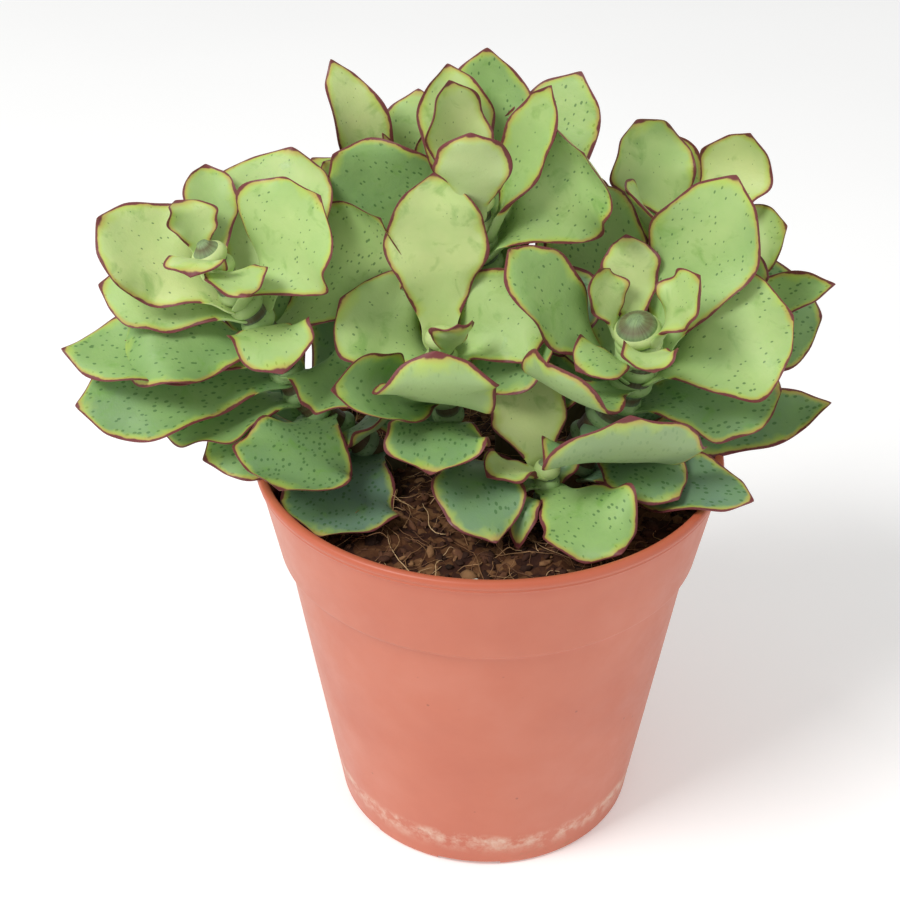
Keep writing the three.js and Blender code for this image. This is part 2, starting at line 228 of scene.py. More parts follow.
def node(tree, kind, inputs=None, stops=(), **settings):
    """Adds one shader node. inputs maps a socket to a value or to another node's output, and stops
    are the places and sRGB colours of a colour ramp."""
    made = tree.nodes.new("ShaderNode" + kind)
    for key, value in settings.items():
        setattr(made, key, value)
    for key, value in (inputs or {}).items():
        if isinstance(value, bpy.types.NodeSocket):
            tree.links.new(value, made.inputs[key])
        else:
            made.inputs[key].default_value = value
    for k, (place, colour) in enumerate(stops):
        if k > 1:
            made.color_ramp.elements.new(place)
        made.color_ramp.elements[k].position = place
        made.color_ramp.elements[k].color = linear(colour)
    return made


def leaf_material():
    """Succulent leaf, grown: a thick blade with a pale wax bloom, satin where the bloom is whole and
    glossier green where it is rubbed off. Water pores show as dark dots along the veins, and the
    margin is a thin maroon line inside a yellow-green flush."""
    material, tree = start_material("waxy_jade_leaf")
    place = node(tree, "Attribute", attribute_name="leaf_mm").outputs["Vector"]
    edge = node(tree, "Attribute", attribute_name="edge_mm").outputs["Fac"]
    age = node(tree, "Attribute", attribute_name="age").outputs["Fac"]
    face = node(tree, "Attribute", attribute_name="face").outputs["Fac"]
    tone = node(tree, "Attribute", attribute_name="tone").outputs["Fac"]
    # Green of the blade by age: cream-green in the growing heads, blue-grey low down.
    cloud = node(tree, "TexNoise", {"Vector": place, "Scale": 0.09, "Detail": 3.0, "Roughness": 0.55})
    drift = node(tree, "Math", {0: cloud.outputs["Fac"], 1: 0.5, 2: tone}, operation="MULTIPLY_ADD")
    moved = node(tree, "Math", {0: drift.outputs[0], 1: age}, operation="ADD")
    shade = node(tree, "MapRange", {"Value": moved.outputs[0], "From Min": 0.1, "From Max": 1.5})
    blade = node(tree, "ValToRGB", {"Fac": shade.outputs[0]}, stops=[
        (0.0, "#cdd993"), (0.2, "#b3cc82"), (0.42, "#98bb70"), (0.62, "#7fa364"), (0.82, "#71936b"),
        (1.0, "#6b877a")]).outputs["Color"]
    # Rubbed patches: darker, more saturated green, up to a centimetre across.
    rub = node(tree, "TexNoise", {"Vector": place, "Scale": 0.16, "Detail": 4.0, "Roughness": 0.6,
                                  "Distortion": 0.6})
    rubbed = node(tree, "MapRange", {"Value": rub.outputs["Fac"], "From Min": 0.56, "From Max": 0.70})
    rubbed_face = node(tree, "Math", {0: rubbed.outputs[0], 1: face}, operation="MULTIPLY")
    rub_part = node(tree, "Math", {0: rubbed_face.outputs[0], 1: 0.45}, operation="MULTIPLY")
    blade = node(tree, "MixRGB", {"Fac": rub_part.outputs[0], "Color1": blade,
                                  "Color2": linear("#6fa040")}).outputs["Color"]
    # The back is paler and matter, with the bloom whole.
    backside = node(tree, "Math", {0: 1.0, 1: face}, operation="SUBTRACT")
    back_part = node(tree, "Math", {0: backside.outputs[0], 1: 0.45}, operation="MULTIPLY")
    blade = node(tree, "MixRGB", {"Fac": back_part.outputs[0], "Color1": blade,
                                  "Color2": linear("#b4c690")}).outputs["Color"]
    # Pores: dots about 0.5 mm wide and drawn out along the leaf, 1.5 to 2.5 mm apart.
    grid = node(tree, "Mapping", {"Vector": place, "Scale": (0.75, 0.46, 1.0)})
    cell = node(tree, "TexVoronoi", {"Vector": grid.outputs[0], "Scale": 1.0, "Randomness": 0.9})
    spread = node(tree, "TexNoise", {"Vector": place, "Scale": 0.12, "Detail": 2.0})
    many = node(tree, "Math", {0: spread.outputs["Fac"], 1: age}, operation="ADD")
    reach = node(tree, "MapRange", {"Value": many.outputs[0], "From Min": 0.45, "From Max": 1.25,
                                    "To Min": 0.11, "To Max": 0.30})
    fresh = node(tree, "Math", {0: reach.outputs[0], 1: 0.07}, operation="SUBTRACT")
    dot = node(tree, "MapRange", {"Value": cell.outputs["Distance"], "From Min": reach.outputs[0],
                                  "From Max": fresh.outputs[0]}, interpolation_type="SMOOTHSTEP")
    seen = node(tree, "Math", {0: face, 1: 0.75, 2: 0.25}, operation="MULTIPLY_ADD")
    dotted = node(tree, "Math", {0: dot.outputs[0], 1: seen.outputs[0]}, operation="MULTIPLY")
    dot_part = node(tree, "Math", {0: dotted.outputs[0], 1: 0.7}, operation="MULTIPLY")
    blade = node(tree, "MixRGB", {"Fac": dot_part.outputs[0], "Color1": blade,
                                  "Color2": linear("#3f6a35")}).outputs["Color"]
    # Flush and margin line, each of uneven width.
    uneven = node(tree, "TexNoise", {"Vector": place, "Scale": 0.22, "Detail": 3.0})
    width = node(tree, "MapRange", {"Value": uneven.outputs["Fac"], "From Min": 0.3, "From Max": 0.7,
                                    "To Min": 1.3, "To Max": 4.2})
    flush = node(tree, "MapRange", {"Value": edge, "From Min": width.outputs[0], "From Max": 0.3,
                                    "To Max": 0.8}, interpolation_type="SMOOTHSTEP")
    blade = node(tree, "MixRGB", {"Fac": flush.outputs[0], "Color1": blade,
                                  "Color2": linear("#b9cc4e")}).outputs["Color"]
    glow = node(tree, "MapRange", {"Value": edge, "From Min": 1.7, "From Max": 0.5,
                                   "To Max": 0.5}, interpolation_type="SMOOTHSTEP")
    blade = node(tree, "MixRGB", {"Fac": glow.outputs[0], "Color1": blade,
                                  "Color2": linear("#c07a52")}).outputs["Color"]
    thin = node(tree, "MapRange", {"Value": uneven.outputs["Fac"], "From Min": 0.35, "From Max": 0.65,
                                   "To Min": 0.55, "To Max": 1.15})
    inside = node(tree, "Math", {0: thin.outputs[0], 1: 0.35}, operation="SUBTRACT")
    line = node(tree, "MapRange", {"Value": edge, "From Min": thin.outputs[0],
                                   "From Max": inside.outputs[0]}, interpolation_type="SMOOTHSTEP")
    line_part = node(tree, "Math", {0: line.outputs[0], 1: 0.93}, operation="MULTIPLY")
    blade = node(tree, "MixRGB", {"Fac": line_part.outputs[0], "Color1": blade,
                                  "Color2": linear("#6e2238")}).outputs["Color"]
    rough = node(tree, "MapRange", {"Value": rubbed_face.outputs[0], "To Min": 0.52, "To Max": 0.30})
    grain = node(tree, "TexNoise", {"Vector": place, "Scale": 0.9, "Detail": 3.0, "Roughness": 0.6})
    lump = node(tree, "TexNoise", {"Vector": place, "Scale": 0.14, "Detail": 1.0})
    height = node(tree, "Math", {0: lump.outputs["Fac"], 1: 4.0, 2: grain.outputs["Fac"]},
                  operation="MULTIPLY_ADD")
    relief = node(tree, "Bump", {"Height": height.outputs[0], "Strength": 0.25, "Distance": 0.35 * MM})
    skin = node(tree, "BsdfPrincipled", {
        "Base Color": blade, "Roughness": rough.outputs[0], "Normal": relief.outputs[0], "IOR": 1.42,
        "Subsurface Weight": 0.12, "Subsurface Radius": (0.6, 1.0, 0.3), "Subsurface Scale": 1.5 * MM,
        "Specular IOR Level": 0.45})
    node(tree, "OutputMaterial", {"Surface": skin.outputs[0]})
    return material


def stem_material():
    """Succulent stem, grown: blue-green and smooth when young, olive-brown bark below with fine
    lengthwise ridges, and brown rings where leaf pairs have dropped."""
    material, tree = start_material("jade_stem_bark")
    place = node(tree, "Attribute", attribute_name="stem_mm").outputs["Vector"]
    age = node(tree, "Attribute", attribute_name="age").outputs["Fac"]
    scar = node(tree, "Attribute", attribute_name="scar").outputs["Fac"]
    streaks = node(tree, "Mapping", {"Vector": place, "Scale": (1.6, 1.6, 0.12)})
    ridge = node(tree, "TexNoise", {"Vector": streaks.outputs[0], "Scale": 1.0, "Detail": 4.0})
    cloud = node(tree, "TexNoise", {"Vector": place, "Scale": 0.25, "Detail": 3.0})
    blend = node(tree, "Math", {0: cloud.outputs["Fac"], 1: 0.5, 2: age}, operation="MULTIPLY_ADD")
    bark = node(tree, "ValToRGB", {"Fac": blend.outputs[0]}, stops=[
        (0.2, "#93ad78"), (0.6, "#6f8a70"), (0.95, "#6b6745"), (1.0, "#5d5335")]).outputs["Color"]
    dark = node(tree, "MapRange", {"Value": ridge.outputs["Fac"], "From Min": 0.42, "From Max": 0.62,
                                   "To Max": 0.35})
    bark = node(tree, "MixRGB", {"Fac": dark.outputs[0], "Color1": bark,
                                 "Color2": linear("#3d3a28")}).outputs["Color"]
    bark = node(tree, "MixRGB", {"Fac": scar, "Color1": bark, "Color2": linear("#5b3a26")}).outputs["Color"]
    relief = node(tree, "Bump", {"Height": ridge.outputs["Fac"], "Strength": 0.6, "Distance": 0.4 * MM})
    skin = node(tree, "BsdfPrincipled", {"Base Color": bark, "Roughness": 0.55,
                                         "Normal": relief.outputs[0], "IOR": 1.45})
    node(tree, "OutputMaterial", {"Surface": skin.outputs[0]})
    return material


def pot_material():
    """Polypropylene, injection-moulded and pigmented terracotta: satin, with dark pigment specks,
    rub marks, and a pale lime line with traces of algae near the foot."""
    material, tree = start_material("moulded_polypropylene")
    place = node(tree, "TexCoord").outputs["Object"]
    height = node(tree, "SeparateXYZ", {"Vector": place}).outputs["Z"]
    cloud = node(tree, "TexNoise", {"Vector": place, "Scale": 28.0, "Detail": 4.0, "Roughness": 0.6})
    body = node(tree, "ValToRGB", {"Fac": cloud.outputs["Fac"]}, stops=[
        (0.3, "#c26a50"), (0.55, "#c97257"), (0.75, "#cd7a61")]).outputs["Color"]
    # The lip is painted darker and more orange: partly painted shade from the groove under it, partly a
    # deeper colour.
    lip = node(tree, "MapRange", {"Value": height, "From Min": 102 * MM, "From Max": 107 * MM,
                                  "To Max": 0.45})
    body = node(tree, "MixRGB", {"Fac": lip.outputs[0], "Color1": body,
                                 "Color2": linear("#bb5230")}).outputs["Color"]
    # Pigment specks 0.2 to 0.5 mm across, a centimetre or so apart.
    cell = node(tree, "TexVoronoi", {"Vector": place, "Scale": 110.0})
    speck = node(tree, "MapRange", {"Value": cell.outputs["Distance"], "From Min": 0.055,
                                    "From Max": 0.02, "To Max": 0.5})
    body = node(tree, "MixRGB", {"Fac": speck.outputs[0], "Color1": body,
                                 "Color2": linear("#7a4334")}).outputs["Color"]
    # Lime left by water, in a wavering band 9 to 15 mm above the foot.
    wander = node(tree, "TexNoise", {"Vector": place, "Scale": 16.0, "Detail": 5.0, "Roughness": 0.65})
    level = node(tree, "Math", {0: wander.outputs["Fac"], 1: 9 * MM, 2: height}, operation="MULTIPLY_ADD")
    above = node(tree, "MapRange", {"Value": level.outputs[0], "From Min": 18.5 * MM,
                                    "From Max": 15.5 * MM}, interpolation_type="SMOOTHSTEP")
    below = node(tree, "MapRange", {"Value": level.outputs[0], "From Min": 8 * MM,
                                    "From Max": 15 * MM}, interpolation_type="SMOOTHSTEP")
    band = node(tree, "Math", {0: above.outputs[0], 1: below.outputs[0]}, operation="MULTIPLY")
    broken = node(tree, "TexNoise", {"Vector": place, "Scale": 220.0, "Detail": 4.0, "Roughness": 0.7})
    crust = node(tree, "MapRange", {"Value": broken.outputs["Fac"], "From Min": 0.42, "From Max": 0.66,
                                    "To Max": 0.7})
    lime = node(tree, "Math", {0: band.outputs[0], 1: crust.outputs[0]}, operation="MULTIPLY")
    body = node(tree, "MixRGB", {"Fac": lime.outputs[0], "Color1": body,
                                 "Color2": linear("#e3cdb8")}).outputs["Color"]
    low = node(tree, "MapRange", {"Value": height, "From Min": 9 * MM, "From Max": 1 * MM})
    patch = node(tree, "TexNoise", {"Vector": place, "Scale": 60.0, "Detail": 5.0, "Roughness": 0.7})
    green = node(tree, "MapRange", {"Value": patch.outputs["Fac"], "From Min": 0.56, "From Max": 0.68,
                                    "To Max": 0.6})
    algae = node(tree, "Math", {0: green.outputs[0], 1: low.outputs[0]}, operation="MULTIPLY")
    body = node(tree, "MixRGB", {"Fac": algae.outputs[0], "Color1": body,
                                 "Color2": linear("#77703c")}).outputs["Color"]
    rub = node(tree, "TexNoise", {"Vector": place, "Scale": 75.0, "Detail": 6.0, "Roughness": 0.7})
    rough = node(tree, "MapRange", {"Value": rub.outputs["Fac"], "From Min": 0.3, "From Max": 0.7,
                                    "To Min": 0.36, "To Max": 0.50})
    relief = node(tree, "Bump", {"Height": rub.outputs["Fac"], "Strength": 0.12, "Distance": 0.2 * MM})
    skin = node(tree, "BsdfPrincipled", {
        "Base Color": body, "Roughness": rough.outputs[0], "Normal": relief.outputs[0], "IOR": 1.49,
        "Subsurface Weight": 0.05, "Subsurface Radius": (1.0, 0.4, 0.25), "Subsurface Scale": 1.0 * MM})
    node(tree, "OutputMaterial", {"Surface": skin.outputs[0]})
    return material


def soil_material():
    """Peat and coir potting mix: matte, near black where damp, with red-brown chips."""
    material, tree = start_material("coir_and_peat")
    place = node(tree, "TexCoord").outputs["Object"]
    cell = node(tree, "TexVoronoi", {"Vector": place, "Scale": 420.0})
    tint = node(tree, "SeparateColor", {"Color": cell.outputs["Color"]}).outputs[0]
    cloud = node(tree, "TexNoise", {"Vector": place, "Scale": 90.0, "Detail": 6.0, "Roughness": 0.7})
    blend = node(tree, "Math", {0: tint, 1: 0.45, 2: cloud.outputs["Fac"]}, operation="MULTIPLY_ADD")
    crumbs = node(tree, "ValToRGB", {"Fac": blend.outputs[0]}, stops=[
        (0.35, "#1e110c"), (0.6, "#3a2118"), (0.8, "#54341f"), (0.98, "#7a5638")]).outputs["Color"]
    relief = node(tree, "Bump", {"Height": blend.outputs[0], "Strength": 0.8, "Distance": 1.2 * MM})
    skin = node(tree, "BsdfPrincipled", {"Base Color": crumbs, "Roughness": 0.92,
                                         "Normal": relief.outputs[0], "Specular IOR Level": 0.2})
    node(tree, "OutputMaterial", {"Surface": skin.outputs[0]})
    return material


def chip_material():
    """Loose bits on the soil: bark chips and coir pith, each of its own brown."""
    material, tree = start_material("bark_chips")
    tint = node(tree, "Attribute", attribute_name="tint").outputs["Fac"]
    place = node(tree, "TexCoord").outputs["Object"]
    grain = node(tree, "TexNoise", {"Vector": place, "Scale": 700.0, "Detail": 3.0})
    blend = node(tree, "Math", {0: grain.outputs["Fac"], 1: 0.3, 2: tint}, operation="MULTIPLY_ADD")
    brown = node(tree, "ValToRGB", {"Fac": blend.outputs[0]}, stops=[
        (0.1, "#20130d"), (0.5, "#43281c"), (0.8, "#6a4630"), (1.1 / 1.3, "#8a6544")]).outputs["Color"]
    relief = node(tree, "Bump", {"Height": grain.outputs["Fac"], "Strength": 0.7, "Distance": 0.5 * MM})
    skin = node(tree, "BsdfPrincipled", {"Base Color": brown, "Roughness": 0.85,
                                         "Normal": relief.outputs[0], "Specular IOR Level": 0.25})
    node(tree, "OutputMaterial", {"Surface": skin.outputs[0]})
    return material


def fibre_material():
    """Coir fibre from coconut husk: dry, tan to red-brown."""
    material, tree = start_material("coir_fibre")
    tint = node(tree, "Attribute", attribute_name="tint").outputs["Fac"]
    tan = node(tree, "ValToRGB", {"Fac": tint}, stops=[
        (0.0, "#5d3a26"), (0.4, "#8c6440"), (0.75, "#b98f62"), (1.0, "#d3b083")]).outputs["Color"]
    skin = node(tree, "BsdfPrincipled", {"Base Color": tan, "Roughness": 0.7})
    node(tree, "OutputMaterial", {"Surface": skin.outputs[0]})
    return material


def stone_material():
    """A chip of pale limestone from the potting mix: chalky, faintly mottled."""
    material, tree = start_material("limestone_chip")
    place = node(tree, "TexCoord").outputs["Object"]
    mottle = node(tree, "TexNoise", {"Vector": place, "Scale": 900.0, "Detail": 4.0})
    chalk = node(tree, "ValToRGB", {"Fac": mottle.outputs["Fac"]}, stops=[
        (0.3, "#b9ad9b"), (0.7, "#e6dfd2")]).outputs["Color"]
    relief = node(tree, "Bump", {"Height": mottle.outputs["Fac"], "Strength": 0.5, "Distance": 0.3 * MM})
    skin = node(tree, "BsdfPrincipled", {"Base Color": chalk, "Roughness": 0.8,
                                         "Normal": relief.outputs[0]})
    node(tree, "OutputMaterial", {"Surface": skin.outputs[0]})
    return material


def floor_material():
    """A pale painted studio floor: matte, with the faintest unevenness."""
    material, tree = start_material("pale_studio_floor")
    place = node(tree, "TexCoord").outputs["Object"]
    cloud = node(tree, "TexNoise", {"Vector": place, "Scale": 3.0, "Detail": 2.0})
    white = node(tree, "ValToRGB", {"Fac": cloud.outputs["Fac"]}, stops=[
        (0.3, "#f6f6f5"), (0.7, "#fafaf9")]).outputs["Color"]
    skin = node(tree, "BsdfPrincipled", {"Base Color": white, "Roughness": 0.9,
                                         "Specular IOR Level": 0.1, "Emission Color": linear("#ffffff"),
                                         "Emission Strength": 0.22})
    node(tree, "OutputMaterial", {"Surface": skin.outputs[0]})
    return material


# ---------------------------------------------------------------- pot
POT_ROUND = 160  # points round the pot
COLLAR_FOOT = 83  # height at which the wide collar under the rim begins, mm
FOOT_RADIUS = 41
WALL = 1.5
FLOOR = 2.4
FOOT_RECESS = 1.3  # how far the middle of the floor stands clear of the ground
EDGE_ROUND = 0.7  # how far from a corner its rounding starts
NOTCH_WIDTH = 17
NOTCH_REACH = (33, 47)  # the foot notches run through this ring
NOTCH_ANGLES = (-97, -148, 32, 83)
DRAIN_HOLES = 6
DRAIN_HOLE_RADIUS = 4
DRAIN_CIRCLE = 25  # radius of the circle on which the drain holes stand


def turned(profile, sides):
    """A surface of revolution: each [radius, height] point carried round Z, poles where the profile
    meets the axis. Profile runs so that its left side is the outside."""
    profile = np.asarray(profile, float)
    body = profile[1:-1]
    angle = np.arange(sides) * 2 * np.pi / sides
    x = body[:, :1] * np.cos(angle)
    y = body[:, :1] * np.sin(angle)
    z = np.repeat(body[:, 1:], sides, axis=1)
    ring = np.stack([x, y, z], axis=-1).reshape(-1, 3)
    poles = np.array([[0, 0, profile[0, 1]], [0, 0, profile[-1, 1]]])
    return np.concatenate([ring, poles]) * MM, tube_faces(len(body), sides)


def rounded(profile, reach, steps=3):
    """The profile with each corner replaced by a short curve that starts and ends reach mm from it:
    points of the quadratic curve through the corner's two cut points."""
    profile = np.asarray(profile, float)
    before, here, after = profile[:-2], profile[1:-1], profile[2:]
    cut_a = np.minimum(reach, np.linalg.norm(before - here, axis=1) * 0.45)[:, None]
    cut_b = np.minimum(reach, np.linalg.norm(after - here, axis=1) * 0.45)[:, None]
    a = here + unit(before - here) * cut_a
    b = here + unit(after - here) * cut_b
    t = np.linspace(0, 1, steps)[None, :, None]
    curve = (1 - t) ** 2 * a[:, None] + 2 * t * (1 - t) * here[:, None] + t**2 * b[:, None]
    return np.concatenate([profile[:1], curve.reshape(-1, 2), profile[-1:]])


def cut_box(low, high, angle):
    """A box's points, turned about Z, and its faces."""
    corner = np.array([[x, y, z] for x in (low[0], high[0]) for y in (low[1], high[1])
                       for z in (low[2], high[2])])
    c, s = math.cos(angle), math.sin(angle)
    turn = np.array([[c, s, 0], [-s, c, 0], [0, 0, 1]])
    faces = np.array([[0, 1, 3, 2], [4, 6, 7, 5], [0, 4, 5, 1], [2, 3, 7, 6], [0, 2, 6, 4], [1, 5, 7, 3]])
    return corner @ turn * MM, [faces]


def pot():
    """The pot's profile turned about Z, less its foot notches and drain holes."""
    _, (rim, _, top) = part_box("pot")
    rim, top = rim / MM, top / MM
    outside = [
        [0, 0], [14, 0], [15.5, FOOT_RECESS], [33.5, FOOT_RECESS], [35, 0],
        [FOOT_RADIUS - 0.6, 0], [FOOT_RADIUS, 0.8], [53, COLLAR_FOOT - 2], [54.8, COLLAR_FOOT - 0.6],
        [rim - 0.9, top - 3.2], [rim - 0.3, top - 2.8], [rim - 0.5, top - 2.2], [rim, top - 1.6],
        [rim, top - 0.7], [rim - 0.6, top], [rim - 1.9, top], [rim - 2.5, top - 0.6],
        [rim - 2.5, top - 3.6], [54.6 - WALL, COLLAR_FOOT + 1.4], [52.8 - WALL, COLLAR_FOOT - 0.6],
        [FOOT_RADIUS + 0.4 - WALL, FLOOR + 1.6], [FOOT_RADIUS - 1.4 - WALL, FLOOR], [0, FLOOR]]
    points, faces = turned(rounded(outside, EDGE_ROUND), POT_ROUND)
    mesh = new_mesh("nursery_pot", points, faces)
    body = bpy.data.objects.new("nursery_pot", mesh)
    bpy.context.scene.collection.objects.link(body)
    cutters = []
    for degrees in NOTCH_ANGLES:
        cutters.append((*cut_box((NOTCH_REACH[0], -NOTCH_WIDTH / 2, -2),
                                 (NOTCH_REACH[1], NOTCH_WIDTH / 2, FOOT_RECESS),
                                 math.radians(degrees)), {}))
    for k in range(DRAIN_HOLES):
        hole, hole_faces = turned([[0, -1], [DRAIN_HOLE_RADIUS, -1], [DRAIN_HOLE_RADIUS, FLOOR + 3],
                                   [0, FLOOR + 3]], 24)
        angle = k * 2 * math.pi / DRAIN_HOLES
        hole = hole + np.array([math.cos(angle), math.sin(angle), 0]) * DRAIN_CIRCLE * MM
        cutters.append((hole, hole_faces, {}))
    cut_points, cut_faces, _ = join_shells(cutters)
    tool = bpy.data.objects.new("pot_cutter", new_mesh("pot_cutter", cut_points, cut_faces))
    bpy.context.scene.collection.objects.link(tool)
    cut = body.modifiers.new("holes", "BOOLEAN")
    cut.operation = "DIFFERENCE"
    cut.solver = "EXACT"
    cut.object = tool
    graph = bpy.context.evaluated_depsgraph_get()
    finished = bpy.data.meshes.new_from_object(body.evaluated_get(graph))
    bpy.data.objects.remove(body)
    bpy.data.objects.remove(tool)
    bpy.data.meshes.remove(mesh)
    finished.name = "nursery_pot"
    finished.shade_smooth()
    finished.set_sharp_from_angle(angle=math.radians(40))
    add_piece(finished, pot_material(), "pot", "pot")


# ---------------------------------------------------------------- soil
def ripples(x, y, size, count, seed):
    """Smooth random heights between about -1 and 1: the mean of count cosine waves about size mm
    long, each with its own direction and phase."""
    draw = np.random.default_rng(seed)
    direction = draw.uniform(0, 2 * np.pi, count)
    length = size * draw.uniform(0.7, 1.5, count)
    phase = draw.uniform(0, 2 * np.pi, count)
    way = x[..., None] * np.cos(direction) + y[..., None] * np.sin(direction)
    return np.cos(way * 2 * np.pi / length + phase).sum(axis=-1) / math.sqrt(count)


def soil_height(x, y):
    """Height in mm of the soil's surface: a low dome with lumps of three sizes."""
    radius = np.hypot(x, y)
    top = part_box("soil")[1][2] / MM - 1.5
    dome = 1.2 * (1 - (radius / 55) ** 2)
    lumps = 0.7 * ripples(x, y, 26, 9, 5) + 0.35 * ripples(x, y, 8, 16, 6) + 0.22 * ripples(x, y, 3, 24, 7)
    return top + dome + lumps


def soil():
    """The soil's top on a polar grid, closed down the pot's inside wall and across its floor."""
    low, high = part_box("soil")
    wall = [[0, low[2] / MM], [37, low[2] / MM], [39, low[2] / MM + 2], [50.8, 82.4], [52.6, 84.6],
            [54.4, high[2] / MM - 5]]
    spread = np.linspace(54.4, 0.7, 100)
    profile = np.array(wall + [[r, 0] for r in spread] + [[0, 0]])
    points, faces = turned(profile, 180)
    points /= MM
    rows = len(profile) - 2
    grid = points[:-2].reshape(rows, 180, 3)
    grid[len(wall) - 1:, :, 2] = soil_height(grid[len(wall) - 1:, :, 0], grid[len(wall) - 1:, :, 1])
    grid[len(wall) - 1, :, 2] -= 1.0
    points[-1, 2] = soil_height(np.zeros(1), np.zeros(1))[0]
    add_piece(new_mesh("potting_soil", points * MM, faces), soil_material(), "soil", "soil")


def basis(direction):
    """Two unit vectors square to each direction and to each other."""
    helper = np.where(np.abs(direction[..., 2:]) < 0.8, [0.0, 0.0, 1.0], [1.0, 0.0, 0.0])
    side = unit(np.cross(helper, direction))
    return side, np.cross(direction, side)


def swept(path, radius, sides):
    """A round tube: circles of the given radii carried along a path, closed at both ends. Columns
    turn counter-clockwise seen from the end."""
    along = unit(np.gradient(path, axis=0))
    side, up = basis(along)
    for k in range(1, len(path)):  # each circle keeps the turn of the one before
        side[k] = unit(side[k - 1] - along[k] * (side[k - 1] @ along[k]))
        up[k] = np.cross(along[k], side[k])
    angle = np.arange(sides) * 2 * np.pi / sides
    circle = side[:, None] * np.cos(angle)[:, None] + up[:, None] * np.sin(angle)[:, None]
    grid = path[:, None] + circle * np.broadcast_to(radius, (len(path),))[:, None, None]
    return np.concatenate([grid.reshape(-1, 3), path[:1], path[-1:]])


def on_soil(count, draw, edge=50):
    """Places spread evenly over the soil, as x, y and height in mm."""
    radius = edge * np.sqrt(draw.uniform(0, 1, count))
    angle = draw.uniform(0, 2 * np.pi, count)
    x, y = radius * np.cos(angle), radius * np.sin(angle)
    return np.stack([x, y, soil_height(x, y)], axis=-1)


def chips(count=900):
    """Bark chips: small closed lumps, each an ellipsoid whose radius is roughened by two waves."""
    draw = np.random.default_rng(12)
    places = on_soil(count, draw, 52)
    rows, columns = 4, 6
    lat = np.linspace(-np.pi / 2, np.pi / 2, rows + 2)[1:-1]
    lon = np.arange(columns) * 2 * np.pi / columns
    ball = np.stack([np.cos(lat)[:, None] * np.cos(lon), np.cos(lat)[:, None] * np.sin(lon),
                     np.repeat(np.sin(lat)[:, None], columns, axis=1)], axis=-1).reshape(-1, 3)
    ball = np.concatenate([ball, [[0, 0, -1], [0, 0, 1]]])
    longest = np.array([1.15, 0.62, 0.42])
    sizes = draw.lognormal(0.0, 0.45, (count, 1)) * longest * draw.uniform(0.7, 1.3, (count, 3))
    lumps = ball[None] * np.clip(sizes, 0.2, 2.8)[:, None] * draw.uniform(0.75, 1.25, (count, len(ball), 1))
    turn = draw.uniform(0, 2 * np.pi, count)
    tilt = draw.normal(0, 0.45, count)
    c, s = np.cos(tilt)[:, None], np.sin(tilt)[:, None]
    x, z = lumps[..., 0] * c - lumps[..., 2] * s, lumps[..., 0] * s + lumps[..., 2] * c
    c, s = np.cos(turn)[:, None], np.sin(turn)[:, None]
    turned_lumps = np.stack([x * c - lumps[..., 1] * s, x * s + lumps[..., 1] * c, z], axis=-1)
    points = (places[:, None] + turned_lumps + [0, 0, 0.15]).reshape(-1, 3)
    faces = [f[None] + (np.arange(count) * len(ball))[:, None, None] for f in tube_faces(rows, columns)]
    tint = np.repeat(draw.beta(1.6, 2.4, count), len(ball))
    mesh = new_mesh("bark_chips", points * MM, [f.reshape(-1, f.shape[-1]) for f in faces], {"tint": tint})
    add_piece(mesh, chip_material(), "soil")


def fibres(count=420):
    """Coir fibres: thin tapering tubes along gently curled paths that lie on the soil, some of them
    standing up from it. A path is an arc with a sideways wave."""
    draw = np.random.default_rng(77)
    starts = on_soil(count, draw, 51)
    steps, sides = 12, 4
    t = np.linspace(0, 1, steps)
    shells = []
    for k in range(count):
        long_one = draw.uniform() < 0.25
        length = draw.uniform(12, 26) if long_one else draw.uniform(4, 12)
        heading = draw.uniform(0, 2 * np.pi) + draw.normal(0, 0.9) * t + 0.5 * np.sin(
            t * draw.uniform(3, 8) + draw.uniform(0, 6))
        step = length / (steps - 1)
        x = starts[k, 0] + np.cumsum(np.cos(heading)) * step
        y = starts[k, 1] + np.cumsum(np.sin(heading)) * step
        out = np.hypot(x, y)
        held = np.minimum(1, 53 / np.maximum(out, 1))
        x, y = x * held, y * held
        rise = draw.uniform(1.0, 7.0) if draw.uniform() < 0.18 else draw.uniform(0.2, 1.4)
        z = soil_height(x, y) + 0.25 + rise * np.sin(np.pi * t * draw.uniform(0.5, 1.0))
        radius = draw.uniform(0.08, 0.17) * (1 - 0.6 * t)
        points = swept(np.stack([x, y, z], axis=-1), radius, sides)
        shells.append((points * MM, tube_faces(steps, sides), {"tint": np.full(len(points), draw.uniform())}))
    mesh = new_mesh("coir_fibres", *join_shells(shells))
    add_piece(mesh, fibre_material(), "soil")


def stone():
    """One pale chip of stone near the front of the pot: a ball with flattened, wavy sides."""
    rows, columns = 12, 18
    lat = np.linspace(-np.pi / 2, np.pi / 2, rows + 2)[1:-1, None]
    lon = np.arange(columns) * 2 * np.pi / columns
    swell = 1 + 0.12 * np.sin(3 * lon + 1) * np.cos(2 * lat) + 0.08 * np.cos(5 * lon) * np.cos(lat)
    grid = np.stack([1.5 * np.cos(lat) * np.cos(lon) * swell, 1.1 * np.cos(lat) * np.sin(lon) * swell,
                     0.9 * np.sin(lat) * swell], axis=-1).reshape(-1, 3)
    points = np.concatenate([grid, [[0, 0, -0.9], [0, 0, 0.9]]])
    x, y = -4.0, -46.5
    points = points + [x, y, soil_height(np.array(x), np.array(y)) + 0.8]
    add_piece(new_mesh("pale_stone", points * MM, tube_faces(rows, columns)), stone_material(), "soil")


# ---------------------------------------------------------------- stems
def stem_paths():
    """Each stem's fine middle line in mm, and its radius, from the frame's solids."""
    paths = {}
    for name in sorted(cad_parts):
        if name.endswith("_stem"):
            middles, radius = stem_line(name)
            knots = np.linspace(0, 1, len(middles))
            fine = spline(knots, middles / MM, np.linspace(0, 1, STEM_ROWS))
            paths[name[:-len("_stem")]] = (fine, radius / MM)
    return paths


